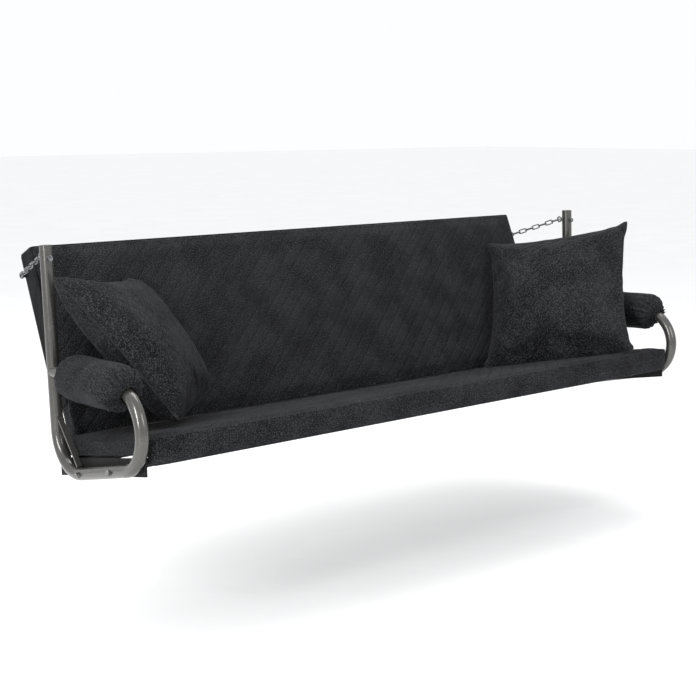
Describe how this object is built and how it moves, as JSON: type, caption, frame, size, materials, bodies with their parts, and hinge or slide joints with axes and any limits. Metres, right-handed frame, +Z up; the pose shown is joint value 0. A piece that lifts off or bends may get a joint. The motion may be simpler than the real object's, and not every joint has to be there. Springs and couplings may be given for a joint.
{
  "type": "porch swing",
  "caption": "Hanging garden swing bench with bent tube side frames, reclining cushioned backrest on chains, armrest bolsters and loose pillows.",
  "frame": {"origin": "midway between the open top ends of the two uprights, where the bench hangs", "axes": "+X along the bench's length, towards its left-hand end as a sitter faces out; +Y to the rear; +Z up"},
  "size_m": [2.012, 0.7553, 0.5967],
  "materials": {
    "frame_paint": "satin taupe-grey powder coat",
    "wire_paint": "satin black coat on the seat frame and wires",
    "galvanised_steel": "hot-dip galvanised, dull",
    "zinc_plated_steel": "zinc plated",
    "plug_plastic": "moulded, matt",
    "outdoor_fabric": "heathered anthracite woven polyester",
    "backing_fabric": "plain dark backing cloth"
  },
  "bodies": {
    "bench": {"bolster_left": "outdoor_fabric", "bolster_right": "outdoor_fabric", "corner_brace_left": "frame_paint", "corner_brace_right": "frame_paint", "eye_bolt_left": "galvanised_steel", "eye_bolt_nuts": "galvanised_steel", "eye_bolt_right": "galvanised_steel", "hanger_sleeve_left": "zinc_plated_steel", "hanger_sleeve_right": "zinc_plated_steel", "hinge_bracket_left": "wire_paint", "hinge_bracket_right": "wire_paint", "hinge_pin_clips": "zinc_plated_steel", "hinge_pin_left": "zinc_plated_steel", "hinge_pin_right": "zinc_plated_steel", "rail_bolts": "zinc_plated_steel", "rail_nuts": "zinc_plated_steel", "seat_cross_wires": "wire_paint", "seat_cushion": "outdoor_fabric", "seat_front_tube": "wire_paint", "seat_long_wires": "wire_paint", "seat_mid_bar_left": "wire_paint", "seat_mid_bar_right": "wire_paint", "seat_rear_tube": "wire_paint", "seat_side_bar_left": "wire_paint", "seat_side_bar_right": "wire_paint", "side_frame_left": "frame_paint", "side_frame_right": "frame_paint"},
    "backrest": {"back_bottom_tube": "frame_paint", "back_cross_wires": "wire_paint", "back_cushion": "outdoor_fabric", "back_cushion_pocket": "backing_fabric", "back_long_wires": "wire_paint", "back_side_tube_left": "frame_paint", "back_side_tube_right": "frame_paint", "back_top_tube": "frame_paint", "back_tube_plugs": "plug_plastic", "chain_stud_left": "zinc_plated_steel", "chain_stud_right": "zinc_plated_steel", "hinge_lug_left": "wire_paint", "hinge_lug_right": "wire_paint"},
    "chain_left": {"chain_left": "galvanised_steel"},
    "chain_right": {"chain_right": "galvanised_steel"},
    "pillow_left": {"pillow_left": "outdoor_fabric"},
    "pillow_right": {"pillow_right": "outdoor_fabric"}
  },
  "joints": [
    {"name": "backrest_recline", "type": "hinge", "parent": "bench", "child": "backrest", "pos_m": [0, 0.04353, -0.583], "axis": [-1, 0, 0], "range_deg": [0, 60]},
    {"name": "chain_left_swing", "type": "hinge", "parent": "bench", "child": "chain_left", "pos_m": [-0.95, 0.03155, -0.032], "axis": [-1, 0, 0], "range_deg": [0, 71.6]},
    {"name": "chain_right_swing", "type": "hinge", "parent": "bench", "child": "chain_right", "pos_m": [0.95, 0.03155, -0.032], "axis": [-1, 0, 0], "range_deg": [0, 71.6]},
    {"name": "pillow_left_lift", "type": "slide", "parent": "bench", "child": "pillow_left", "axis": [0, 0, 1], "range_m": [0, 0.25]},
    {"name": "pillow_right_lift", "type": "slide", "parent": "bench", "child": "pillow_right", "axis": [0, 0, 1], "range_m": [0, 0.25]}
  ],
  "couplings": [
    {"joint": "chain_left_swing", "follows": "backrest_recline", "ratio": 1.1849},
    {"joint": "chain_right_swing", "follows": "backrest_recline", "ratio": 1.1849}
  ]
}
